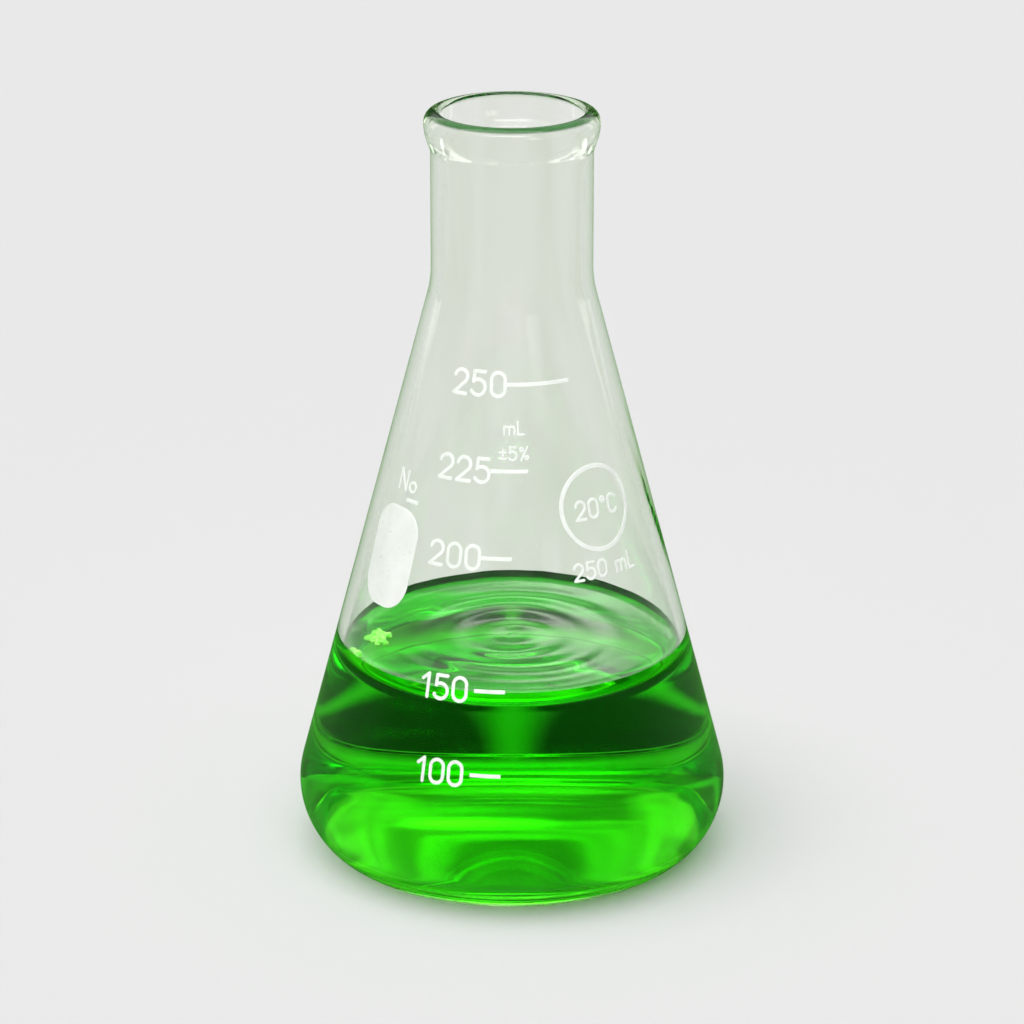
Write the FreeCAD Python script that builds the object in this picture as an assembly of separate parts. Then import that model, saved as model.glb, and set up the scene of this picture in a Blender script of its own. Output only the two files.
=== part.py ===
"""Erlenmeyer flask of the 250 mL class, part filled with culture medium.

Millimetres. +Z is up, and the origin is the centre of the base, on the surface that it stands on.
-Y is the front of the flask, where the volume scale is printed. The glass is one blown piece. The
medium and each white enamel print are separate solids that fit its inner and outer faces.
"""

import FreeCAD, Part
import math
import os

# Glass body, outside
HEIGHT = 142.0
BELLY_OUTER_RADIUS = 40.2
BELLY_HEIGHT = 12.8        # height of the widest ring
BELLY_ARC = 15.1           # radius of the arc from the heel up to the cone
HEEL_ARC = 8.8             # radius of the arc from the base up to the belly
CONE_HALF_ANGLE = 14.9
SHOULDER_ARC = 21.7        # hollow arc from the cone up to the neck
NECK_OUTER_RADIUS = 14.7

# Bead, the thickened rim
BEAD_OUTER_RADIUS = 15.9
BEAD_TOP_ARC = 2.2
BEAD_FLANK = 5.6           # height over which the bead runs out into the neck
BEAD_CONVEX_SHARE = 0.75   # share of the flank that bulges, before the hollow run-out

# Wall and base
WALL = 1.8
BASE_THICKNESS = 3.4
INNER_HEEL_ARC = 7.0
CONTACT_INNER_RADIUS = 27.0
CONTACT_ARC = 3.0          # rounding from the ring that stands on the table into the pushed-up base
PUNT_SLOPE = 13.0          # steepest slope of the pushed-up base, at the edge of its dome

# Medium
LIQUID_LEVEL = 41.1

# White enamel prints
ENAMEL = 0.1               # thickness of the fired enamel
LINE_WIDTH = 0.65
SCALE_MARKS = [            # volume in mL, height of the line, its start angle, its length, number's angle
    (250, 96.3, -5.0, 12.2, -18.5),
    (225, 81.3, -9.7, 6.7, -22.5),
    (200, 66.1, -12.0, 5.6, -23.0),
    (150, 42.9, -12.0, 5.6, -22.0),
    (100, 28.1, -12.0, 5.6, -21.0),
]
NUMERAL_HEIGHT = 4.1
NUMERAL_STROKE = 0.6
SMALL_HEIGHT = 2.2
SMALL_STROKE = 0.34
SMALL_ROWS_Z = 86.6
SPOT_ANGLE = -54.0
SPOT_Z = 62.9
SPOT_WIDTH = 12.2
SPOT_HEIGHT = 18.1
SPOT_CORNER = 4.9
BADGE_ANGLE = 38.5
BADGE_Z = 73.4
BADGE_OUTER_RADIUS = 7.7
BADGE_LINE = 0.75

# A letter is one unit tall. A line is (x, z) to (x, z), and an arc is centre, radius and two angles.
GLYPHS = {
    "0": (0.6, [("arc", 0.3, 0.7, 0.3, 0, 180), ("arc", 0.3, 0.3, 0.3, 180, 360),
                ("line", 0, 0.3, 0, 0.7), ("line", 0.6, 0.3, 0.6, 0.7)]),
    "1": (0.36, [("line", 0.28, 0, 0.28, 1), ("line", 0.28, 1, 0, 0.76)]),
    "2": (0.6, [("arc", 0.3, 0.7, 0.3, -35, 170), ("line", 0.546, 0.528, 0, 0), ("line", 0, 0, 0.6, 0)]),
    "5": (0.6, [("line", 0.56, 1, 0.08, 1), ("line", 0.08, 1, 0.05, 0.56),
                ("arc", 0.27, 0.33, 0.33, -150, 132)]),
    "C": (0.6, [("arc", 0.3, 0.7, 0.3, 25, 180), ("line", 0, 0.3, 0, 0.7), ("arc", 0.3, 0.3, 0.3, 180, 335)]),
    "L": (0.5, [("line", 0, 1, 0, 0), ("line", 0, 0, 0.5, 0)]),
    "N": (0.62, [("line", 0, 0, 0, 1), ("line", 0, 1, 0.62, 0), ("line", 0.62, 0, 0.62, 1)]),
    "m": (0.84, [("line", 0, 0, 0, 0.64), ("arc", 0.21, 0.43, 0.21, 0, 180), ("line", 0.42, 0, 0.42, 0.43),
                 ("arc", 0.63, 0.43, 0.21, 0, 180), ("line", 0.84, 0, 0.84, 0.43)]),
    "o": (0.5, [("ring", 0.25, 0.27, 0.25)]),
    "°": (0.3, [("ring", 0.15, 0.86, 0.13)]),
    "±": (0.5, [("line", 0, 0.58, 0.5, 0.58), ("line", 0.25, 0.33, 0.25, 0.83), ("line", 0, 0.1, 0.5, 0.1)]),
    "%": (0.7, [("line", 0.1, 0, 0.6, 1), ("ring", 0.14, 0.82, 0.13), ("ring", 0.56, 0.18, 0.13)]),
    " ": (0.3, []),
}
GLYPH_GAP = 0.26           # space between two letters, as a share of their height

# Worked out from the dimensions above
UP = FreeCAD.Vector(0, 0, 1)
CONE_COS = math.cos(math.radians(CONE_HALF_ANGLE))
CONE_SIN = math.sin(math.radians(CONE_HALF_ANGLE))
CONE_TAN = CONE_SIN / CONE_COS
BELLY_CENTRE = (BELLY_OUTER_RADIUS - BELLY_ARC, BELLY_HEIGHT)
SHOULDER_CENTRE_R = NECK_OUTER_RADIUS + SHOULDER_ARC
SHOULDER_RUN = BELLY_ARC + SHOULDER_ARC - (SHOULDER_CENTRE_R - BELLY_CENTRE[0]) * CONE_COS
SHOULDER_CENTRE = (SHOULDER_CENTRE_R, BELLY_HEIGHT + SHOULDER_RUN / CONE_SIN)
NECK_INNER_RADIUS = NECK_OUTER_RADIUS - WALL
BEAD_CENTRE = (BEAD_OUTER_RADIUS - BEAD_TOP_ARC, HEIGHT - BEAD_TOP_ARC)
LIP_ARC = BEAD_CENTRE[0] - NECK_INNER_RADIUS
LIP_CENTRE = (BEAD_CENTRE[0], HEIGHT - LIP_ARC)


def on_arc(centre, radius, degrees):
    """Point (r, z) on a circle in the half-plane that is turned about the axis."""
    angle = math.radians(degrees)
    return (centre[0] + radius * math.cos(angle), centre[1] + radius * math.sin(angle))


def vector(point):
    return FreeCAD.Vector(point[0], 0, point[1])


def line(start, end):
    return Part.LineSegment(vector(start), vector(end)).toShape()


def arc(centre, radius, start, end):
    """Edge round centre, from angle start to angle end, in degrees."""
    middle = (start + end) / 2
    points = [vector(on_arc(centre, radius, angle)) for angle in (start, middle, end)]
    return Part.Arc(*points).toShape()


def punt(centre, radius):
    """Edges of a pushed-up base, from the lowest point of a round edge in to the axis, and its apex.

    The round edge runs on past its lowest point until it has the punt's slope, and a dome follows it.
    """
    slope = math.radians(PUNT_SLOPE)
    edge = on_arc(centre, radius, -90 - PUNT_SLOPE)
    dome_radius = edge[0] / math.sin(slope)
    dome_centre = (0, edge[1] - dome_radius * math.cos(slope))
    run_in = arc(centre, radius, -90, -90 - PUNT_SLOPE)
    dome = arc(dome_centre, dome_radius, 90 - PUNT_SLOPE, 90)
    return [run_in, dome], (0, dome_centre[1] + dome_radius)


def heel(belly_arc, heel_arc, floor_z):
    """Centre of the heel arc that touches the floor and the belly arc, and the angle where it meets it."""
    gap = belly_arc - heel_arc
    drop = BELLY_HEIGHT - floor_z - heel_arc
    reach = math.sqrt(gap ** 2 - drop ** 2)
    centre = (BELLY_CENTRE[0] + reach, floor_z + heel_arc)
    return centre, -math.degrees(math.atan2(drop, reach))


def cone_radius(z, offset=0.0):
    """Radius of the cone's outer face at z, or of the face that lies offset outside it."""
    reach = BELLY_ARC + offset - (z - BELLY_HEIGHT) * CONE_SIN
    return BELLY_CENTRE[0] + reach / CONE_COS


def turned(edges, degrees=360):
    """Solid that a closed outline of edges sweeps about the flask's axis."""
    face = Part.Face(Part.Wire(Part.__sortEdges__(edges)))
    return face.revolve(FreeCAD.Vector(0, 0, 0), UP, degrees)


def outer_profile():
    """Outside of the glass, from the base up to the top of the bead, and the apex under the base."""
    base, apex = punt((CONTACT_INNER_RADIUS, CONTACT_ARC), CONTACT_ARC)
    heel_centre, heel_end = heel(BELLY_ARC, HEEL_ARC, 0)
    belly_top = on_arc(BELLY_CENTRE, BELLY_ARC, CONE_HALF_ANGLE)
    shoulder_foot = on_arc(SHOULDER_CENTRE, SHOULDER_ARC, 180 + CONE_HALF_ANGLE)
    bead_step = BEAD_OUTER_RADIUS - NECK_OUTER_RADIUS
    turn = 2 * math.degrees(math.atan(bead_step / BEAD_FLANK))
    flank_arcs = BEAD_FLANK / math.sin(math.radians(turn))
    bulge = flank_arcs * BEAD_CONVEX_SHARE
    run_out = flank_arcs - bulge
    bead_foot = BEAD_CENTRE[1] - BEAD_FLANK
    return base + [
        line((CONTACT_INNER_RADIUS, 0), (heel_centre[0], 0)),
        arc(heel_centre, HEEL_ARC, -90, heel_end),
        arc(BELLY_CENTRE, BELLY_ARC, heel_end, CONE_HALF_ANGLE),
        line(belly_top, shoulder_foot),
        arc(SHOULDER_CENTRE, SHOULDER_ARC, 180 + CONE_HALF_ANGLE, 180),
        line((NECK_OUTER_RADIUS, SHOULDER_CENTRE[1]), (NECK_OUTER_RADIUS, bead_foot)),
        arc((NECK_OUTER_RADIUS + run_out, bead_foot), run_out, 180, 180 - turn),
        arc((BEAD_OUTER_RADIUS - bulge, BEAD_CENTRE[1]), bulge, -turn, 0),
        arc(BEAD_CENTRE, BEAD_TOP_ARC, 0, 90),
    ], apex


def floor_profile():
    """Inside of the glass, from the foot of the cone down to the floor, and the floor's apex."""
    inner_belly = BELLY_ARC - WALL
    centre, heel_end = heel(inner_belly, INNER_HEEL_ARC, BASE_THICKNESS)
    floor, apex = punt(centre, INNER_HEEL_ARC)
    return [
        arc(BELLY_CENTRE, inner_belly, CONE_HALF_ANGLE, heel_end),
        arc(centre, INNER_HEEL_ARC, heel_end, -90),
    ] + floor, apex


def inner_profile():
    """Inside of the glass, from the top of the bead down to the foot of the cone."""
    inner_shoulder = SHOULDER_ARC + WALL
    shoulder_foot = on_arc(SHOULDER_CENTRE, inner_shoulder, 180 + CONE_HALF_ANGLE)
    belly_top = on_arc(BELLY_CENTRE, BELLY_ARC - WALL, CONE_HALF_ANGLE)
    return [
        arc(LIP_CENTRE, LIP_ARC, 90, 180),
        line((NECK_INNER_RADIUS, LIP_CENTRE[1]), (NECK_INNER_RADIUS, SHOULDER_CENTRE[1])),
        arc(SHOULDER_CENTRE, inner_shoulder, 180, 180 + CONE_HALF_ANGLE),
        line(shoulder_foot, belly_top),
    ]


def flask_body():
    outside, under_apex = outer_profile()
    floor, floor_apex = floor_profile()
    return turned(outside + inner_profile() + floor + [line(floor_apex, under_apex)])


def contents(level):
    """What fills the flask from its floor up to a level on the cone."""
    belly_top = on_arc(BELLY_CENTRE, BELLY_ARC - WALL, CONE_HALF_ANGLE)
    floor, floor_apex = floor_profile()
    rim = (cone_radius(level, -WALL), level)
    return turned(floor + [line(floor_apex, (0, level)), line((0, level), rim), line(rim, belly_top)])


def enamel_band(low_z, high_z, degrees=360):
    """Layer of enamel round the cone between two heights, starting at the +X side."""
    corners = [
        (cone_radius(low_z), low_z),
        (cone_radius(low_z, ENAMEL), low_z),
        (cone_radius(high_z, ENAMEL), high_z),
        (cone_radius(high_z), high_z),
    ]
    edges = [line(corners[i], corners[(i + 1) % 4]) for i in range(4)]
    return turned(edges, degrees)


def placed(shape, degrees):
    """Turn a shape made at +X to its angle round the flask, counted to the right from the front."""
    shape = shape.copy()
    shape.rotate(FreeCAD.Vector(0, 0, 0), UP, degrees - 90)
    return shape


def printed(stencils, low_z, high_z, degrees):
    """Enamel where stencils, which reach through the wall along +X, cross the cone."""
    stencil = stencils[0]
    if len(stencils) > 1:
        stencil = stencil.fuse(stencils[1:]).removeSplitter()
    layer = enamel_band(low_z, high_z)
    return placed(stencil.common(layer), degrees)


def peg(y, z, radius):
    """Round stencil through the wall on the +X side."""
    reach = BELLY_OUTER_RADIUS + WALL
    return Part.makeCylinder(radius, reach, FreeCAD.Vector(1, y, z), FreeCAD.Vector(1, 0, 0))


def slab(y0, z0, y1, z1, width):
    """Straight stencil with square ends from one point to another."""
    across = FreeCAD.Vector(0, z0 - z1, y1 - y0).normalize() * (width / 2)
    start = FreeCAD.Vector(1, y0, z0)
    end = FreeCAD.Vector(1, y1, z1)
    corners = [start + across, end + across, end - across, start - across, start + across]
    face = Part.Face(Part.makePolygon(corners))
    return face.extrude(FreeCAD.Vector(BELLY_OUTER_RADIUS + WALL, 0, 0))


def hoop(y, z, radius, width, start=0.0, sweep=360.0):
    """Stencil along an arc, from angle start through sweep degrees."""
    turn = FreeCAD.Rotation(FreeCAD.Vector(0, 1, 0), UP, FreeCAD.Vector(1, 0, 0))
    reach = BELLY_OUTER_RADIUS + WALL
    outer = Part.makeCylinder(radius + width / 2, reach, FreeCAD.Vector(0, 0, 0), UP, sweep)
    inner = Part.makeCylinder(radius - width / 2, reach)
    ring = outer.cut(inner)
    ring.rotate(FreeCAD.Vector(0, 0, 0), UP, start)
    ring.Placement = FreeCAD.Placement(FreeCAD.Vector(1, y, z), turn).multiply(ring.Placement)
    return ring


def stroke_stencils(stroke, size, width, y0, z0):
    """Stencils with round ends for one stroke of a letter whose foot is at (y0, z0)."""
    kind = stroke[0]
    values = [value * size for value in stroke[1:4]]
    y = y0 + values[0]
    z = z0 + values[1]
    if kind == "ring":
        return [hoop(y, z, values[2], width)]
    if kind == "line":
        end_y = y0 + values[2]
        end_z = z0 + stroke[4] * size
        return [slab(y, z, end_y, end_z, width), peg(y, z, width / 2), peg(end_y, end_z, width / 2)]
    start, end = stroke[4:6]
    tips = [on_arc((y, z), values[2], angle) for angle in (start, end)]
    return [hoop(y, z, values[2], width, start, end - start)] + [peg(tip[0], tip[1], width / 2) for tip in tips]


def lettering(text, size, width, degrees, z):
    """Row of letters centred on an angle and a height. Each letter faces straight out of the cone."""
    radius = cone_radius(z)
    advance = [GLYPHS[letter][0] + GLYPH_GAP for letter in text]
    start = -(sum(advance) - GLYPH_GAP) / 2
    letters = []
    for letter, step in zip(text, advance):
        letter_width = GLYPHS[letter][0]
        middle = (start + letter_width / 2) * size
        stencils = []
        for stroke in GLYPHS[letter][1]:
            stencils += stroke_stencils(stroke, size, width, -letter_width * size / 2, z - size / 2)
        if stencils:
            angle = degrees + math.degrees(middle / radius)
            letters.append(printed(stencils, z - size, z + size, angle))
        start += step
    return letters


def scale_line(z, start_angle, length):
    """One line of the volume scale: a strip of enamel that runs level round the cone."""
    degrees = math.degrees(length / cone_radius(z))
    strip = enamel_band(z - LINE_WIDTH / 2, z + LINE_WIDTH / 2, degrees)
    return placed(strip, start_angle)


def graduation_lines():
    return [scale_line(z, start, length) for _, z, start, length, _ in SCALE_MARKS]


def graduation_numerals():
    numerals = []
    for volume, z, _, _, angle in SCALE_MARKS:
        numerals += lettering(str(volume), NUMERAL_HEIGHT, NUMERAL_STROKE, angle, z)
    return numerals


def marking_spot():
    """Patch with round corners to write on: two crossed slabs and four corner pegs."""
    half_y = SPOT_WIDTH / 2 - SPOT_CORNER
    half_z = SPOT_HEIGHT / 2 - SPOT_CORNER
    stencils = [
        slab(0, SPOT_Z - SPOT_HEIGHT / 2, 0, SPOT_Z + SPOT_HEIGHT / 2, 2 * half_y),
        slab(-SPOT_WIDTH / 2, SPOT_Z, SPOT_WIDTH / 2, SPOT_Z, 2 * half_z),
    ]
    for side in (-1, 1):
        for end in (-1, 1):
            stencils.append(peg(side * half_y, SPOT_Z + end * half_z, SPOT_CORNER))
    return [printed(stencils, SPOT_Z - SPOT_HEIGHT, SPOT_Z + SPOT_HEIGHT, SPOT_ANGLE)]


def spot_heading():
    """The word for number, with a short dash under it, above the marking spot."""
    top = SPOT_Z + SPOT_HEIGHT / 2
    dash = scale_line(top + 1.6, SPOT_ANGLE + 3, 3.2)
    return lettering("No", 3.4, NUMERAL_STROKE * 0.75, SPOT_ANGLE + 2, top + 4.8) + [dash]


def badge_ring():
    ring = hoop(0, BADGE_Z, BADGE_OUTER_RADIUS - BADGE_LINE / 2, BADGE_LINE)
    return [printed([ring], BADGE_Z - 9, BADGE_Z + 9, BADGE_ANGLE)]


def badge_text():
    return lettering("20°C", 3.2, NUMERAL_STROKE * 0.8, BADGE_ANGLE, BADGE_Z)


def capacity_text():
    return lettering("250 mL", 2.9, NUMERAL_STROKE * 0.75, BADGE_ANGLE, BADGE_Z - 10.6)


def tolerance_text():
    """Two small rows between the two top lines of the scale."""
    upper = lettering("mL", SMALL_HEIGHT, SMALL_STROKE, 1.0, SMALL_ROWS_Z + SMALL_HEIGHT)
    return upper + lettering("±5%", SMALL_HEIGHT, SMALL_STROKE, 1.0, SMALL_ROWS_Z - SMALL_HEIGHT)


def main():
    os.makedirs("parts", exist_ok=True)
    nodes = {
        "flask_body": [flask_body()],
        "liquid": [contents(LIQUID_LEVEL)],
        "graduation_lines": graduation_lines(),
        "graduation_numerals": graduation_numerals(),
        "marking_spot": marking_spot(),
        "spot_heading": spot_heading(),
        "badge_ring": badge_ring(),
        "badge_text": badge_text(),
        "capacity_text": capacity_text(),
        "tolerance_text": tolerance_text(),
    }
    for name, solids in nodes.items():
        shape = solids[0] if len(solids) == 1 else Part.makeCompound(solids)
        shape.exportStep(f"parts/{name}.step")
        print(f"{name}: {len(shape.Solids)} solids, {shape.Volume / 1000:.3f} mL, valid {shape.isValid()}")
    for volume, z, *_ in SCALE_MARKS:
        print(f"the {volume} mL line, at {z} mm, holds {contents(z).Volume / 1000:.0f} mL")


main()
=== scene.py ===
"""Looks of an Erlenmeyer flask part filled with green medium. Metres, in the CAD model's frame.

The glass and the medium are turned about the flask's axis from the same arcs as the CAD solids, finely
enough for clean refraction. The white enamel prints are the CAD nodes themselves.
"""

import math
import random

import bmesh
import bpy
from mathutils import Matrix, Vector

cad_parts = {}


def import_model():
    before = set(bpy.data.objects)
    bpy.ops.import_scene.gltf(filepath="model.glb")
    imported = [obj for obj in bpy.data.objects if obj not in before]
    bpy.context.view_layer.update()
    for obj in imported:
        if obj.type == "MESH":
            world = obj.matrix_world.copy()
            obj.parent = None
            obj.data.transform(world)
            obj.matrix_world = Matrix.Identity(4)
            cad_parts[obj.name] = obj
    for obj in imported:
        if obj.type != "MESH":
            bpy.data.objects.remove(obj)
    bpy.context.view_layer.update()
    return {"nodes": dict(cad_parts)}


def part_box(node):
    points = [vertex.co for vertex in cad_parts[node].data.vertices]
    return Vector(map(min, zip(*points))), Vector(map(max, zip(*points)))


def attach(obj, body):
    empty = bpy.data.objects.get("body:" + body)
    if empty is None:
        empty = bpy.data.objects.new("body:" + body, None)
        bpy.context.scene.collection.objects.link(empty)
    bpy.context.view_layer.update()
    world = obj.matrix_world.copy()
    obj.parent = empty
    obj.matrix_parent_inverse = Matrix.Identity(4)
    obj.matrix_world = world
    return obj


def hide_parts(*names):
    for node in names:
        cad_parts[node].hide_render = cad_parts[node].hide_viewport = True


MM = 0.001

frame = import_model()

# Glass outline, the CAD model's own sizes
TOP_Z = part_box("flask_body")[1].z
BELLY_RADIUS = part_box("flask_body")[1].y
BELLY_Z = 12.8 * MM
BELLY_ARC = 15.1 * MM
HEEL_ARC = 8.8 * MM
CONE_ANGLE = 14.9
SHOULDER_ARC = 21.7 * MM
NECK_RADIUS = 14.7 * MM
BEAD_RADIUS = 15.9 * MM
BEAD_TOP_ARC = 2.2 * MM
BEAD_FLANK = 5.6 * MM
BEAD_CONVEX_SHARE = 0.75
WALL = 1.8 * MM
BASE = 3.4 * MM
INNER_HEEL_ARC = 7.0 * MM
CONTACT_RADIUS = 27.0 * MM
CONTACT_ARC = 3.0 * MM
PUNT_SLOPE = 13.0
SKIN = 0.03 * MM           # how far the glass stands outside the CAD cone, so that the prints sink in

# Medium
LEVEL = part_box("liquid")[1].z
WETTING = 0.06 * MM        # how far the medium reaches into the wall, so that no air is left between
MENISCUS_RISE = 1.1 * MM
MENISCUS_REACH = 1.3 * MM
SURFACE_STEPS = 90
SURFACE_CROWDING = 1.8     # above 1, the top face's rings stand closer together towards the wall
RIPPLES = (                # height, wavelength, arms round the axis, turn
    (0.105 * MM, 7.6 * MM, 0, 2.6),
    (0.040 * MM, 12.0 * MM, 2, 1.9),
    (0.012 * MM, 5.5 * MM, 3, 4.1),
)
RIPPLE_ARMS_OUT = 6 * MM   # arms start at the axis and are full at this radius
RIPPLES_AT_AXIS = 0.35     # share of their height
RIPPLES_AT_SIDES = 0.25
RIPPLES_OUT = 9 * MM       # radius from which the share depends only on the side
RIPPLES_END = (0.55, 0.95)  # shares of the rim's radius between which they die out

# Drawn tubing is never quite even inside: waves round the bore, each as (waves in a turn, height)
WAVES = ((2, 0.060 * MM), (5, 0.030 * MM), (9, 0.022 * MM), (17, 0.012 * MM), (31, 0.006 * MM))
WAVES_FROM = 50.0 * MM     # none below this height, so that the medium meets an even wall
WAVES_FULL = 75.0 * MM
WAVES_END = (TOP_Z - 6 * MM, TOP_Z - 2 * MM)
WAVES_TWIST = 12           # radians a metre, for each wave in a turn

TURNS = 256                # steps round the axis
ARC_STEP = 3.0             # degrees between two points of an arc
RUN_STEP = 4.0 * MM        # distance between two points of a straight stretch
SAME_POINT = 0.001 * MM

# Foam on the medium
BUBBLE_RADII = (0.25 * MM, 0.75 * MM)
FOAM_HEAP = (0.0, 0.8)     # how far a bubble sits above the surface, in its own radii
FOAM_SKIN = 0.12 * MM      # grid on which the bubbles are made one skin
FOAM = (                   # name, place, half size round the axis and along the radius, bubbles, seed
    ("foam_raft", (-24.9 * MM, -2.0 * MM), (3.4 * MM, 2.2 * MM), 46, 3),
    ("foam_at_wall", (-28.4 * MM, -11.4 * MM), (2.2 * MM, 1.0 * MM), 22, 8),
)

# Glass. The tints are of its faces, and the absorption is per metre of the way through it
GLASS_IOR = 1.473
GLASS_CLEAR = (0.990, 0.994, 0.977)
GLASS_CLOUDED = (0.905, 0.932, 0.880)
GLASS_ABSORPTION = (0.55, 0.75, 0.40, 1)
GLASS_DENSITY = 25.0
# Below the medium's level the glass throws back less light: true of its inner face against the medium,
# and painted shade on its outer face, which dims the mirror images there so that they don't veil the
# medium
GLOSS_DRY = 0.55
GLOSS_WET_AND_DIMMED = 0.10                            # a wet wall throws back much less light
GLOSS_CHANGES = (LEVEL - 2 * MM, LEVEL + 1 * MM)
# Painted light and shade on the rolled lip: green for the light that it bends in from the medium, dark
# green at the front, pale at the back
PAINTED_LIP_FRONT = (0.010, 0.100, 0.010)
PAINTED_LIP_BACK = (0.78, 0.92, 0.72)
PAINTED_LIP_BEGINS = (TOP_Z - 0.95 * MM, TOP_Z - 0.5 * MM)
PAINTED_LIP_TURNS_PALE = (-9 * MM, 7 * MM)          # from front to back

# Medium
MEDIUM_IOR = 1.333
MEDIUM_CLOUDED = (0.93, 1.0, 0.90)
MEDIUM_CLEAR = (1.0, 1.0, 1.0)
MEDIUM_ABSORPTION = (0.45, 0.97, 0.0, 1)
MEDIUM_DENSITY = 100.0
FOAM_DARK = (0.09, 0.60, 0.02)
FOAM_LIGHT = (0.30, 0.80, 0.14)

# Enamel
ENAMEL_DULL = (0.66, 0.685, 0.65)
ENAMEL_WHITE = (0.80, 0.82, 0.79)
ENAMEL_PINHOLE = (0.50, 0.55, 0.50)
ENAMEL_ROUGHNESS = (0.30, 0.48)
ENAMEL_SCATTER = 0.15 * MM                  # how far light spreads in it: it is pale from behind too

# Studio. The world has a level for each kind of ray, and heights in it are sines of the angle up
BACKDROP = 0.82                             # seen directly, as pale as the floor
AROUND = 0.30                               # for the light that it gives
MIRRORED_LOW = (0.06, 0.12, 0.05)           # where the front of the cone mirrors it
MIRRORED_HIGH = 0.60
MIRRORED_CHANGES = (0.24, 0.34)
BENT_MIDDLE = 0.95                          # seen through the glass or the medium
BENT_HIGH = 0.6
BENT_TO_MIDDLE = (0.0, 0.30)
BENT_TO_HIGH = (0.45, 0.95)
BENT_UNEVEN = (0.40, 1.45)                  # soft patches in it, as shares of its level
BENT_UNEVEN_FROM = (0.05, 0.22)
BENT_PATCHES = (2.2, 2.2, 10.0)             # patches along x, y and z
SHEET_STEPS = 96                            # steps round the floor and the card
FLOOR_RADIUS = 6.0
FLOOR_GREY = 0.62
MIRRORED_FLOOR = (0.06, 0.20, 0.04)
POOL_GREEN = (0.07, 0.40, 0.03)             # light that the medium lets through on to the floor
POOL_FADE = (37.4 * MM, 44 * MM)
POOL_UNEVEN = (0.12, 1.3)
CARD_HEIGHT = 0.2 * MM
CARD_FADE_IN = (40 * MM, 46 * MM)           # radius from its inner edge, and up to its outer edge
CARD_FADE_OUT = (76 * MM, 90 * MM)
CARD_DARK = (0.006, 0.040, 0.003)
CARD_LIGHT = (0.30, 0.42, 0.25)
CARD_RAY = 0.00013                          # |x y| in square metres at which its pale rays end
EMPTY_WALLS = 4                             # faces that a ray crosses in the two empty walls
OVERHEAD = 3.3
OVERHEAD_ANGLE = 70                         # degrees
OVERHEAD_TURN = (12, -10, 0)                # degrees
LIGHT_BOUNCES = 80                          # enough for light led down the wall from the lip
SOFT_EDGE = 0.35                            # share of a soft box's width over which each edge fades
# name, place, target, width and height, watts, and what differs from the other boxes
SOFT_BOXES = (
    ("front_box", (0.55, -1.0, 0.55), (0, 0, 0.07), (0.5, 0.55), 5.0, {}),
    ("left_strip", (-0.9, 0.6, 0.35), (0, 0, 0.07), (0.25, 0.9), 1.4, {}),
    ("top_strip", (0, -0.8, 1.0), (0, 0, 0.14), (1.3, 0.3), 13.0, {}),
    ("back_patch", (0.05, 1.0, 0.47), (0, 0, 0.02), (0.24, 0.20), 0.6,
     {"edge": 0.5, "mirrored": False}),
    ("right_strip", (0.9, 0.6, 0.35), (0, 0, 0.07), (0.25, 0.9), 1.4, {}),
)

# Camera at the photo's viewing angle
LENS = 133.0
SENSOR = 36.0
EYE = (0.0, -0.6603, 0.3041)
AIM = (0.0, 0.0, 0.0655)

# Worked out from the sizes above
COS = math.cos(math.radians(CONE_ANGLE))
SIN = math.sin(math.radians(CONE_ANGLE))
BELLY_CENTRE = (BELLY_RADIUS - BELLY_ARC, BELLY_Z)
SHOULDER_R = NECK_RADIUS + SHOULDER_ARC
SHOULDER_RUN = BELLY_ARC + SHOULDER_ARC - (SHOULDER_R - BELLY_CENTRE[0]) * COS
SHOULDER_CENTRE = (SHOULDER_R, BELLY_Z + SHOULDER_RUN / SIN)
CONE_TOP_Z = SHOULDER_CENTRE[1] - SHOULDER_ARC * SIN
BEAD_CENTRE = (BEAD_RADIUS - BEAD_TOP_ARC, TOP_Z - BEAD_TOP_ARC)
LIP_ARC = BEAD_CENTRE[0] - (NECK_RADIUS - WALL)
LIP_CENTRE = (BEAD_CENTRE[0], TOP_Z - LIP_ARC)


# ---------------------------------------------------------------- outlines

def on_arc(centre, radius, degrees):
    angle = math.radians(degrees)
    return (centre[0] + radius * math.cos(angle), centre[1] + radius * math.sin(angle))


def arc(centre, radius, start, end, step=ARC_STEP):
    """Points (r, z) along an arc from one angle to another, both ends included."""
    count = max(2, math.ceil(abs(end - start) / step))
    return [on_arc(centre, radius, start + (end - start) * i / count) for i in range(count + 1)]


def joined(*runs):
    """One outline from several runs of points: long gaps get points, and doubled points go."""
    outline = []
    for point in [point for run in runs for point in run]:
        if outline:
            last = outline[-1]
            gap = math.dist(last, point)
            if gap < SAME_POINT:
                continue
            steps = math.ceil(gap / RUN_STEP)
            for i in range(1, steps):
                outline.append(tuple(a + (b - a) * (i / steps) for a, b in zip(last, point)))
        outline.append(point)
    return outline


def punt(centre, radius):
    """Pushed-up base: the round edge runs on to the punt's slope, then a dome closes on the axis."""
    edge = on_arc(centre, radius, -90 - PUNT_SLOPE)
    dome_radius = edge[0] / math.sin(math.radians(PUNT_SLOPE))
    dome_centre = (0.0, edge[1] - dome_radius * math.cos(math.radians(PUNT_SLOPE)))
    run_in = arc(centre, radius, -90, -90 - PUNT_SLOPE)
    return run_in + arc(dome_centre, dome_radius, 90 - PUNT_SLOPE, 90, step=0.6)


def heel(belly_arc, heel_arc, floor_z):
    """Centre of the arc on which the base turns up, and the angle at which it meets the belly's arc."""
    gap = belly_arc - heel_arc
    drop = BELLY_Z - floor_z - heel_arc
    reach = math.sqrt(gap ** 2 - drop ** 2)
    return (BELLY_CENTRE[0] + reach, floor_z + heel_arc), -math.degrees(math.atan2(drop, reach))


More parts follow.
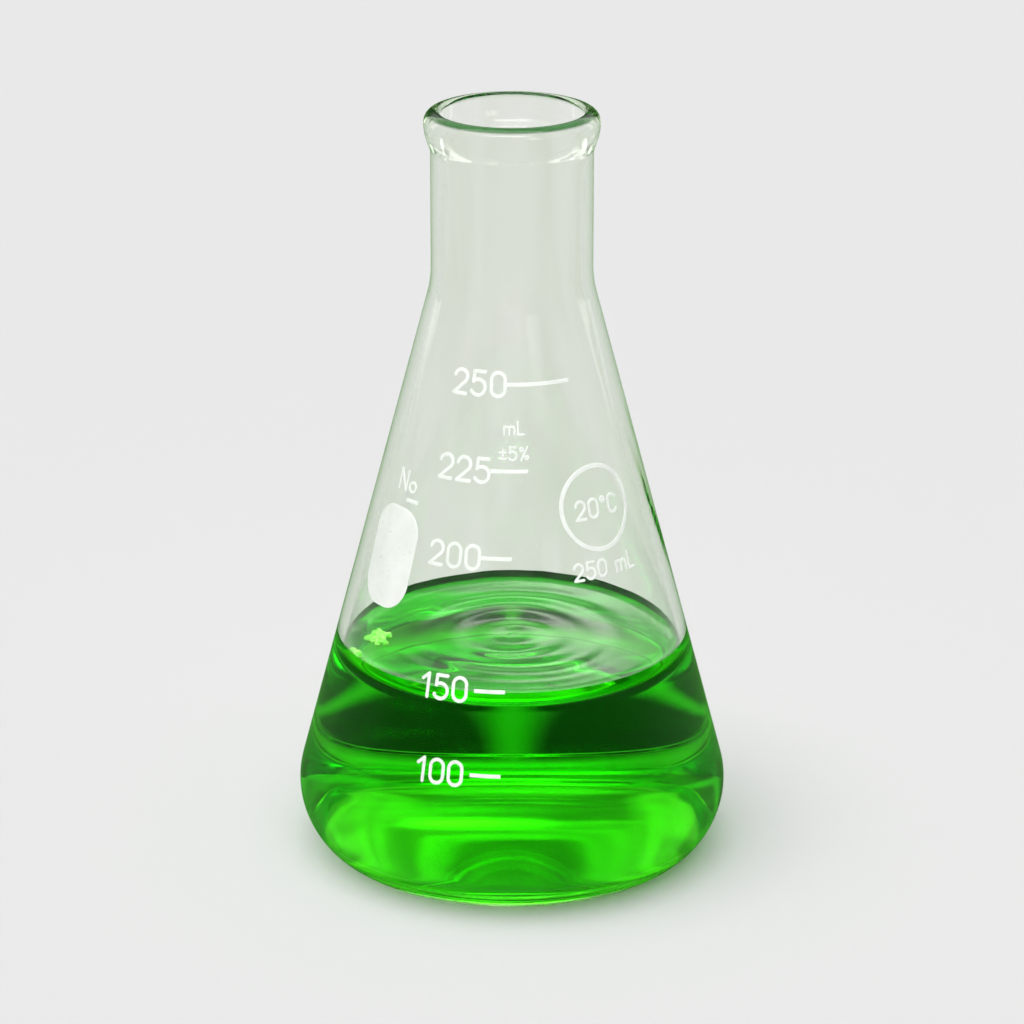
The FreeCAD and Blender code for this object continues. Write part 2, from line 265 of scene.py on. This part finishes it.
def outside(skin):
    """Outline from the apex under the base up to the top of the bead.

    The belly, the cone and the shoulder stand skin outside the CAD model's.
    """
    heel_centre, heel_end = heel(BELLY_ARC, HEEL_ARC, 0.0)
    turn = 2 * math.degrees(math.atan((BEAD_RADIUS - NECK_RADIUS) / BEAD_FLANK))
    flank_arcs = BEAD_FLANK / math.sin(math.radians(turn))
    bulge = flank_arcs * BEAD_CONVEX_SHARE
    run_out = flank_arcs - bulge
    foot = BEAD_CENTRE[1] - BEAD_FLANK
    return joined(
        punt((CONTACT_RADIUS, CONTACT_ARC), CONTACT_ARC)[::-1],
        arc(heel_centre, HEEL_ARC, -90, heel_end),
        arc(BELLY_CENTRE, BELLY_ARC + skin, heel_end, CONE_ANGLE),
        arc(SHOULDER_CENTRE, SHOULDER_ARC - skin, 180 + CONE_ANGLE, 180, step=1.0),
        arc((NECK_RADIUS + run_out, foot), run_out, 180, 180 - turn),
        arc((BEAD_RADIUS - bulge, BEAD_CENTRE[1]), bulge, -turn, 0),
        arc(BEAD_CENTRE, BEAD_TOP_ARC, 0, 90, step=5.0),
    )


def inside(depth, top):
    """Outline from a height on the inner wall down to the floor's apex, depth deep in the wall."""
    inner_belly = BELLY_ARC - WALL
    heel_centre, heel_end = heel(inner_belly, INNER_HEEL_ARC, BASE)
    floor = punt(heel_centre, INNER_HEEL_ARC + depth)
    below = arc(BELLY_CENTRE, inner_belly + depth, CONE_ANGLE, heel_end)
    below += arc(heel_centre, INNER_HEEL_ARC + depth, heel_end, -90)
    return joined(top, below, floor)


def cone_inner_radius(z, depth=0.0):
    """Radius of the cone's inner face at a height, depth deep in the wall."""
    reach = BELLY_ARC - WALL + depth - (z - BELLY_Z) * SIN
    return BELLY_CENTRE[0] + reach / COS


# ---------------------------------------------------------------- meshes

def linked(name, mesh, smooth=True):
    """Object made from a bmesh, which is used up."""
    data = bpy.data.meshes.new(name)
    mesh.to_mesh(data)
    mesh.free()
    if smooth:
        data.shade_smooth()
    piece = bpy.data.objects.new(name, data)
    bpy.context.scene.collection.objects.link(piece)
    return piece


def turned(name, outline, unevenness):
    """Closed mesh that an outline from axis to axis sweeps. unevenness(r, z, angle) moves a point."""
    mesh = bmesh.new()
    rings = []
    for r, z in outline:
        if r < SAME_POINT:
            rings.append([mesh.verts.new((0, 0, z))])
            continue
        ring = []
        for i in range(TURNS):
            angle = 2 * math.pi * i / TURNS
            dr, dz = unevenness(r, z, angle)
            x, y = (r + dr) * math.cos(angle), (r + dr) * math.sin(angle)
            ring.append(mesh.verts.new((x, y, z + dz)))
        rings.append(ring)
    for lower, upper in zip(rings, rings[1:]):
        for i in range(TURNS):
            j = (i + 1) % TURNS
            quad = ((lower, i), (lower, j), (upper, j), (upper, i))
            corners = [ring[step % len(ring)] for ring, step in quad]
            mesh.faces.new(list(dict.fromkeys(corners)))
    bmesh.ops.recalc_face_normals(mesh, faces=mesh.faces)
    return linked(name, mesh)


def smooth_share(value, start, end):
    """0 before start and 1 after end, with a smooth rise between."""
    share = min(max((value - start) / (end - start), 0.0), 1.0)
    return share * share * (3 - 2 * share)


def bore_waves(r, z, angle):
    """Moves only the bore, above the medium and below the lip."""
    if z < WAVES_FROM or r > outer_radius(z) - 0.5 * WALL:
        return 0.0, 0.0
    share = smooth_share(z, WAVES_FROM, WAVES_FULL) * (1 - smooth_share(z, *WAVES_END))
    move = 0.0
    for count, height in WAVES:
        move += height * math.sin(count * angle + count + WAVES_TWIST * z * count)
    return share * move, 0.0


def outer_radius(z):
    """Outer radius of the cone, shoulder and neck at a height."""
    if z < CONE_TOP_Z:
        return BELLY_CENTRE[0] + (BELLY_ARC - (z - BELLY_Z) * SIN) / COS
    if z < SHOULDER_CENTRE[1]:
        return SHOULDER_R - math.sqrt(SHOULDER_ARC ** 2 - (SHOULDER_CENTRE[1] - z) ** 2)
    return NECK_RADIUS


def glass_body():
    """Closed body of the glass: up its outside, over the lip and down its inside."""
    top = arc(LIP_CENTRE, LIP_ARC, 90, 180, step=7.0)
    top += arc(SHOULDER_CENTRE, SHOULDER_ARC + WALL, 180, 180 + CONE_ANGLE, step=1.0)
    return turned("glass_body", joined(outside(SKIN), inside(0.0, top)), bore_waves)


def surface_height(r, rim_radius):
    """The medium climbs the wall in a short curve."""
    return LEVEL + MENISCUS_RISE * math.exp(-(rim_radius - r) / MENISCUS_REACH)


def ripples(r, z, angle):
    """Low waves on the top face, lower towards the sides than towards the front and back."""
    if z < LEVEL - 0.01 * MM:
        return 0.0, 0.0
    rim_radius = cone_inner_radius(LEVEL)
    calm = 1 - smooth_share(r, RIPPLES_END[0] * rim_radius, RIPPLES_END[1] * rim_radius)
    out = smooth_share(r, 0.0, RIPPLES_OUT)
    towards_front_or_back = RIPPLES_AT_SIDES + (1 - RIPPLES_AT_SIDES) * math.sin(angle) ** 2
    calm *= (1 - out) * RIPPLES_AT_AXIS + out * towards_front_or_back
    move = 0.0
    for height, wavelength, arms, turn in RIPPLES:
        middle = smooth_share(r, 0.0, RIPPLE_ARMS_OUT) if arms else 1.0
        move += height * middle * math.cos(2 * math.pi * r / wavelength + arms * angle + turn)
    return 0.0, calm * move


def medium():
    """Closed body of the medium: its top face out to the wall, then down the wall to the base."""
    rim_z = LEVEL + MENISCUS_RISE
    rim_radius = cone_inner_radius(rim_z, WETTING)
    top = []
    for i in range(SURFACE_STEPS + 1):
        share = i / SURFACE_STEPS
        r = rim_radius * (1 - (1 - share) ** SURFACE_CROWDING)
        top.append((r, surface_height(r, rim_radius)))
    return turned("medium", joined(top, inside(WETTING, [])), ripples)


def foam(name, place, size, count, seed):
    """Raft of small bubbles on the medium: the spheres are made one skin."""
    draw = random.Random(seed)
    mesh = bmesh.new()
    rim_radius = cone_inner_radius(LEVEL + MENISCUS_RISE)
    turn = math.atan2(place[1], place[0])
    for _ in range(count):
        radius = draw.uniform(*BUBBLE_RADII)
        spread = math.sqrt(draw.random())
        angle = draw.uniform(0, 2 * math.pi)
        along = size[0] * spread * math.cos(angle)
        across = size[1] * spread * math.sin(angle)
        x = place[0] + across * math.cos(turn) - along * math.sin(turn)
        y = place[1] + across * math.sin(turn) + along * math.cos(turn)
        reach = math.hypot(x, y)
        most = cone_inner_radius(LEVEL + 2 * MM) - radius
        if reach > most:
            x, y, reach = x * most / reach, y * most / reach, most
        z = surface_height(reach, rim_radius) + radius * draw.uniform(*FOAM_HEAP) * (1.2 - spread)
        ball = bmesh.ops.create_icosphere(mesh, subdivisions=2, radius=radius)
        bmesh.ops.translate(mesh, verts=ball["verts"], vec=(x, y, z))
    spheres = linked("spheres", mesh)
    skin = spheres.modifiers.new("skin", "REMESH")
    skin.mode = "VOXEL"
    skin.voxel_size = FOAM_SKIN
    skin.use_smooth_shade = True
    bpy.context.view_layer.update()
    depsgraph = bpy.context.evaluated_depsgraph_get()
    data = bpy.data.meshes.new_from_object(spheres.evaluated_get(depsgraph))
    bpy.data.objects.remove(spheres)
    data.name = name
    piece = bpy.data.objects.new(name, data)
    bpy.context.scene.collection.objects.link(piece)
    return piece


# ---------------------------------------------------------------- materials

def grey(level):
    return (level, level, level)


def new_material(name):
    material = bpy.data.materials.new(name)
    material.use_nodes = True
    tree = material.node_tree
    return material, tree, tree.nodes["Principled BSDF"]


def absorb(tree, color, density):
    volume = tree.nodes.new("ShaderNodeVolumeAbsorption")
    volume.inputs["Color"].default_value = color
    volume.inputs["Density"].default_value = density
    output = tree.nodes["Material Output"]
    tree.links.new(volume.outputs["Volume"], output.inputs["Volume"])


def noise(tree, scale, stretch=(1, 1, 1), detail=3.0):
    """Noise through the piece. The scale is in cells a metre."""
    place = tree.nodes.new("ShaderNodeTexCoord")
    mapping = tree.nodes.new("ShaderNodeMapping")
    mapping.inputs["Scale"].default_value = stretch
    texture = tree.nodes.new("ShaderNodeTexNoise")
    texture.inputs["Scale"].default_value = scale
    texture.inputs["Detail"].default_value = detail
    tree.links.new(place.outputs["Object"], mapping.inputs["Vector"])
    tree.links.new(mapping.outputs["Vector"], texture.inputs["Vector"])
    return texture.outputs["Fac"]


def blend(tree, share, low, high):
    """Colour between two by a share, which is a socket. low and high are sockets or colours."""
    mix = tree.nodes.new("ShaderNodeMix")
    mix.data_type = "RGBA"
    tree.links.new(share, mix.inputs["Factor"])
    for socket, value in ((mix.inputs[6], low), (mix.inputs[7], high)):
        if isinstance(value, tuple):
            socket.default_value = (*value, 1)
        else:
            tree.links.new(value, socket)
    return mix.outputs[2]


def ranged(tree, value, start, end, low=0.0, high=1.0):
    """Smooth change from low to high, while the value goes from start to end."""
    node = tree.nodes.new("ShaderNodeMapRange")
    node.interpolation_type = "SMOOTHSTEP"
    for name, number in (("From Min", start), ("From Max", end), ("To Min", low), ("To Max", high)):
        node.inputs[name].default_value = number
    tree.links.new(value, node.inputs["Value"])
    return node.outputs["Result"]


def math_node(tree, operation, *values):
    node = tree.nodes.new("ShaderNodeMath")
    node.operation = operation
    for socket, value in zip(node.inputs, values):
        if isinstance(value, float):
            socket.default_value = value
        else:
            tree.links.new(value, socket)
    return node.outputs[0]


def along_axis(tree, axis):
    """Place along X, Y or Z in the piece's own metres."""
    place = tree.nodes.new("ShaderNodeTexCoord")
    split = tree.nodes.new("ShaderNodeSeparateXYZ")
    tree.links.new(place.outputs["Object"], split.inputs["Vector"])
    return split.outputs[axis]


def distance_from_axis(tree):
    """Radius on a flat piece that lies round the axis at the floor's height."""
    place = tree.nodes.new("ShaderNodeTexCoord")
    radius = tree.nodes.new("ShaderNodeVectorMath")
    radius.operation = "LENGTH"
    tree.links.new(place.outputs["Object"], radius.inputs[0])
    return radius.outputs["Value"]


def is_mirrored(tree):
    """1 for a ray that a glass surface has just thrown back, 0 for any other."""
    path = tree.nodes.new("ShaderNodeLightPath")
    glossy, bent = path.outputs["Is Glossy Ray"], path.outputs["Is Transmission Ray"]
    return math_node(tree, "SUBTRACT", glossy, bent)


def is_deep(tree):
    """1 for a ray that has been in the medium, which it tells by the faces crossed, 0 for any other."""
    path = tree.nodes.new("ShaderNodeLightPath")
    return math_node(tree, "GREATER_THAN", path.outputs["Transmission Depth"], EMPTY_WALLS + 0.5)


def bump(tree, shader, height, distance, strength):
    node = tree.nodes.new("ShaderNodeBump")
    node.inputs["Distance"].default_value = distance
    node.inputs["Strength"].default_value = strength
    tree.links.new(height, node.inputs["Height"])
    tree.links.new(node.outputs["Normal"], shader.inputs["Normal"])


def clear(shader, ior):
    """Makes a shader fully see-through and smooth."""
    shader.inputs["Transmission Weight"].default_value = 1.0
    shader.inputs["IOR"].default_value = ior
    shader.inputs["Roughness"].default_value = 0.0


def glass_material():
    """Borosilicate glass: clear in the wall, with faint drawn cords, and with painted green light and
    shade on the thick rolled lip, dark at the front and pale towards the back.
    """
    material, tree, shader = new_material("clear_glass")
    clear(shader, GLASS_IOR)
    # Less reflection below the medium's level: real on the inner face, painted shade on the outer face
    above_medium = ranged(tree, along_axis(tree, "Z"), *GLOSS_CHANGES)
    gloss = blend(tree, above_medium, grey(GLOSS_WET_AND_DIMMED), grey(GLOSS_DRY))
    tree.links.new(gloss, shader.inputs["Specular Tint"])
    cords = ranged(tree, noise(tree, 130.0, stretch=(1, 1, 0.05)), 0.35, 0.75)
    wall = blend(tree, cords, GLASS_CLEAR, GLASS_CLOUDED)
    # Painted light and shade: the lip's top turns green, dark at the front and pale towards the back
    lip = ranged(tree, along_axis(tree, "Z"), *PAINTED_LIP_BEGINS)
    towards_back = ranged(tree, along_axis(tree, "Y"), *PAINTED_LIP_TURNS_PALE)
    painted_lip_green = blend(tree, towards_back, PAINTED_LIP_FRONT, PAINTED_LIP_BACK)
    tree.links.new(blend(tree, lip, wall, painted_lip_green), shader.inputs["Base Color"])
    streaks = noise(tree, 260.0, stretch=(1, 1, 0.03), detail=2.0)
    bump(tree, shader, streaks, distance=0.02 * MM, strength=0.25)
    absorb(tree, GLASS_ABSORPTION, GLASS_DENSITY)
    return material


def medium_material():
    """Clear green medium with faint clouds of what grows in it."""
    material, tree, shader = new_material("green_medium")
    clear(shader, MEDIUM_IOR)
    shader.inputs["Specular Tint"].default_value = (0, 0, 0, 1)
    cloud = blend(tree, noise(tree, 45.0), MEDIUM_CLOUDED, MEDIUM_CLEAR)
    tree.links.new(cloud, shader.inputs["Base Color"])
    absorb(tree, MEDIUM_ABSORPTION, MEDIUM_DENSITY)
    return material


def foam_material():
    """Pale green foam, uneven from bubble to bubble."""
    material, tree, shader = new_material("green_foam")
    shader.inputs["IOR"].default_value = MEDIUM_IOR
    shader.inputs["Roughness"].default_value = 0.12
    cells = blend(tree, ranged(tree, noise(tree, 900.0), 0.35, 0.65), FOAM_DARK, FOAM_LIGHT)
    tree.links.new(cells, shader.inputs["Base Color"])
    bump(tree, shader, noise(tree, 1500.0), distance=0.1 * MM, strength=0.5)
    return material


def enamel_material():
    """Fired white enamel: a little mottled, greyer at pinholes, and translucent."""
    material, tree, shader = new_material("white_enamel")
    mottle = blend(tree, noise(tree, 350.0), ENAMEL_DULL, ENAMEL_WHITE)
    pinholes = ranged(tree, noise(tree, 1800.0, detail=1.0), 0.70, 0.78)
    tree.links.new(blend(tree, pinholes, mottle, ENAMEL_PINHOLE), shader.inputs["Base Color"])
    roughness = ranged(tree, noise(tree, 500.0), 0.3, 0.7, *ENAMEL_ROUGHNESS)
    tree.links.new(roughness, shader.inputs["Roughness"])
    bump(tree, shader, noise(tree, 1200.0), distance=0.02 * MM, strength=0.4)
    shader.inputs["Subsurface Weight"].default_value = 1.0
    shader.inputs["Subsurface Radius"].default_value = (1.0, 1.0, 1.0)
    shader.inputs["Subsurface Scale"].default_value = ENAMEL_SCATTER
    return material


# ---------------------------------------------------------------- studio

def soft_box(unlit, name, place, target, size, power, edge=SOFT_EDGE, mirrored=True):
    """Rectangular light that fades towards its edges, so that its mirror image in the glass is soft.

    It doesn't light what is in the collection unlit.
    """
    data = bpy.data.lights.new(name, "AREA")
    data.shape = "RECTANGLE"
    data.size, data.size_y = size
    data.energy = power
    data.use_nodes = True
    tree = data.node_tree
    emission = tree.nodes["Emission"]
    place_in_box = tree.nodes.new("ShaderNodeNewGeometry")
    split = tree.nodes.new("ShaderNodeSeparateXYZ")
    tree.links.new(place_in_box.outputs["Parametric"], split.inputs["Vector"])
    fades = []
    for axis in ("X", "Y"):
        fades.append(ranged(tree, split.outputs[axis], 0.0, edge))
        fades.append(ranged(tree, split.outputs[axis], 1.0 - edge, 1.0, 1.0, 0.0))
    strength = fades[0]
    for fade in fades[1:]:
        strength = math_node(tree, "MULTIPLY", strength, fade)
    tree.links.new(strength, emission.inputs["Strength"])
    lamp = bpy.data.objects.new(name, data)
    bpy.context.scene.collection.objects.link(lamp)
    lamp.location = place
    lamp.rotation_euler = (Vector(target) - Vector(place)).to_track_quat("-Z", "Y").to_euler()
    lamp.visible_camera = False
    lamp.visible_glossy = mirrored
    lamp.light_linking.receiver_collection = unlit


def left_out(piece):
    """Collection for light linking that leaves one object out."""
    unlit = bpy.data.collections.new(piece.name + "_left_out")
    unlit.objects.link(piece)
    unlit.collection_objects[0].light_linking.link_state = "EXCLUDE"
    return unlit


def overhead():
    """Broad light from above that gives the floor its level and the flask its faint shadow."""
    data = bpy.data.lights.new("overhead", "SUN")
    data.energy = OVERHEAD
    data.angle = math.radians(OVERHEAD_ANGLE)
    lamp = bpy.data.objects.new("overhead", data)
    bpy.context.scene.collection.objects.link(lamp)
    lamp.rotation_euler = [math.radians(turn) for turn in OVERHEAD_TURN]


def floor():
    """Pale floor. Its mirror image in the glass is darker, so that it doesn't veil the medium.

    Rays that have been in the medium see uneven green light on it under the flask.
    """
    mesh = bmesh.new()
    bmesh.ops.create_circle(mesh, cap_ends=True, segments=SHEET_STEPS, radius=FLOOR_RADIUS)
    sheet = linked("floor", mesh, smooth=False)
    material, tree, shader = new_material("pale_floor")
    color = blend(tree, is_mirrored(tree), grey(FLOOR_GREY), MIRRORED_FLOOR)
    tree.links.new(color, shader.inputs["Base Color"])
    shader.inputs["Roughness"].default_value = 0.9
    pool = ranged(tree, distance_from_axis(tree), *POOL_FADE, 1.0, 0.0)
    patches = noise(tree, 75.0, stretch=(0.5, 1.6, 1.0), detail=1.0)
    patches = ranged(tree, patches, 0.42, 0.62, *POOL_UNEVEN)
    glow = math_node(tree, "MULTIPLY", math_node(tree, "MULTIPLY", pool, patches), is_deep(tree))
    tree.links.new(glow, shader.inputs["Emission Strength"])
    shader.inputs["Emission Color"].default_value = (*POOL_GREEN, 1)
    shader.inputs["Specular IOR Level"].default_value = 0.0
    sheet.data.materials.append(material)
    return sheet


def dark_card():
    """Dark card flat round the flask, which shows only through the medium and makes its dark band.

    It is paler in a narrow ray each quarter turn, which makes the bright column in the dark band.
    """
    mesh = bmesh.new()
    radii = (CARD_FADE_IN[0], CARD_FADE_OUT[1])
    edge = []
    for i in range(SHEET_STEPS):
        angle = 2 * math.pi * i / SHEET_STEPS
        x, y = math.cos(angle), math.sin(angle)
        edge.append([mesh.verts.new((r * x, r * y, CARD_HEIGHT)) for r in radii])
    for i, one in enumerate(edge):
        other = edge[(i + 1) % SHEET_STEPS]
        mesh.faces.new((one[0], one[1], other[1], other[0]))
    card = linked("dark_card", mesh, smooth=False)
    material, tree, shader = new_material("dark_card")
    shader.inputs["Specular IOR Level"].default_value = 0.0
    product = math_node(tree, "MULTIPLY", along_axis(tree, "X"), along_axis(tree, "Y"))
    off_axis = ranged(tree, math_node(tree, "ABSOLUTE", product), 0.0, CARD_RAY)
    tree.links.new(blend(tree, off_axis, CARD_LIGHT, CARD_DARK), shader.inputs["Base Color"])
    radius = distance_from_axis(tree)
    rise = ranged(tree, radius, *CARD_FADE_IN)
    fall = ranged(tree, radius, *CARD_FADE_OUT, 1.0, 0.0)
    shows = math_node(tree, "MULTIPLY", is_deep(tree), math_node(tree, "MULTIPLY", rise, fall))
    nothing = tree.nodes.new("ShaderNodeBsdfTransparent")
    mix = tree.nodes.new("ShaderNodeMixShader")
    tree.links.new(shows, mix.inputs[0])
    tree.links.new(nothing.outputs[0], mix.inputs[1])
    tree.links.new(shader.outputs[0], mix.inputs[2])
    tree.links.new(mix.outputs[0], tree.nodes["Material Output"].inputs["Surface"])
    card.data.materials.append(material)
    card.visible_camera = False
    card.visible_diffuse = False
    card.visible_shadow = False


def world():
    """Seen directly it is as pale as the floor, through glass it is brighter, and mirrored dimmer."""
    space = bpy.data.worlds.new("studio")
    bpy.context.scene.world = space
    space.use_nodes = True
    tree = space.node_tree
    place = tree.nodes.new("ShaderNodeTexCoord")
    split = tree.nodes.new("ShaderNodeSeparateXYZ")
    path = tree.nodes.new("ShaderNodeLightPath")
    tree.links.new(place.outputs["Generated"], split.inputs["Vector"])
    level = split.outputs["Z"]
    low = blend(tree, ranged(tree, level, *BENT_TO_MIDDLE), grey(BACKDROP), grey(BENT_MIDDLE))
    smooth = blend(tree, ranged(tree, level, *BENT_TO_HIGH), low, grey(BENT_HIGH))
    patches = tree.nodes.new("ShaderNodeTexNoise")
    stretch = tree.nodes.new("ShaderNodeMapping")
    stretch.inputs["Scale"].default_value = BENT_PATCHES
    tree.links.new(place.outputs["Generated"], stretch.inputs["Vector"])
    tree.links.new(stretch.outputs["Vector"], patches.inputs["Vector"])
    patches.inputs["Scale"].default_value = 1.0
    bright = ranged(tree, patches.outputs["Fac"], 0.35, 0.65, *BENT_UNEVEN)
    uneven = tree.nodes.new("ShaderNodeVectorMath")
    uneven.operation = "MULTIPLY"
    tree.links.new(smooth, uneven.inputs[0])
    tree.links.new(bright, uneven.inputs[1])
    bent = blend(tree, ranged(tree, level, *BENT_UNEVEN_FROM), smooth, uneven.outputs[0])
    high = ranged(tree, level, *MIRRORED_CHANGES)
    mirrored = blend(tree, high, MIRRORED_LOW, grey(MIRRORED_HIGH))
    outside_glass = blend(tree, path.outputs["Is Glossy Ray"], grey(AROUND), mirrored)
    indirect = blend(tree, path.outputs["Is Transmission Ray"], outside_glass, bent)
    color = blend(tree, path.outputs["Is Camera Ray"], indirect, grey(BACKDROP))
    tree.links.new(color, tree.nodes["Background"].inputs["Color"])


def camera():
    data = bpy.data.cameras.new("camera")
    data.lens = LENS
    data.sensor_width = SENSOR
    eye = bpy.data.objects.new("camera", data)
    bpy.context.scene.collection.objects.link(eye)
    eye.location = EYE
    eye.rotation_euler = (Vector(AIM) - Vector(EYE)).to_track_quat("-Z", "Y").to_euler()
    bpy.context.scene.camera = eye


# ---------------------------------------------------------------- scene

body = glass_body()
body.data.materials.append(glass_material())
body.visible_shadow = False      # clear glass lets the lamps' light through to the prints and the foam
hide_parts("flask_body")
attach(body, "root")

fill = medium()
fill.data.materials.append(medium_material())
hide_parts("liquid")
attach(fill, "root")

froth = foam_material()
for name, place, size, count, seed in FOAM:
    raft = foam(name, place, size, count, seed)
    raft.data.materials.append(froth)
    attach(raft, "root")

enamel = enamel_material()
for name, node in frame["nodes"].items():
    if name not in ("flask_body", "liquid"):
        node.data.materials.clear()
        node.data.materials.append(enamel)

unlit = left_out(floor())
dark_card()
world()
overhead()
camera()
for name, place, target, size, power, other in SOFT_BOXES:
    soft_box(unlit, name, place, target, size, power, **other)

cycles = bpy.context.scene.cycles
cycles.max_bounces = LIGHT_BOUNCES
cycles.transmission_bounces = LIGHT_BOUNCES
cycles.glossy_bounces = LIGHT_BOUNCES
cycles.volume_bounces = 0
bpy.context.scene.view_settings.view_transform = "Standard"

bpy.context.view_layer.update()
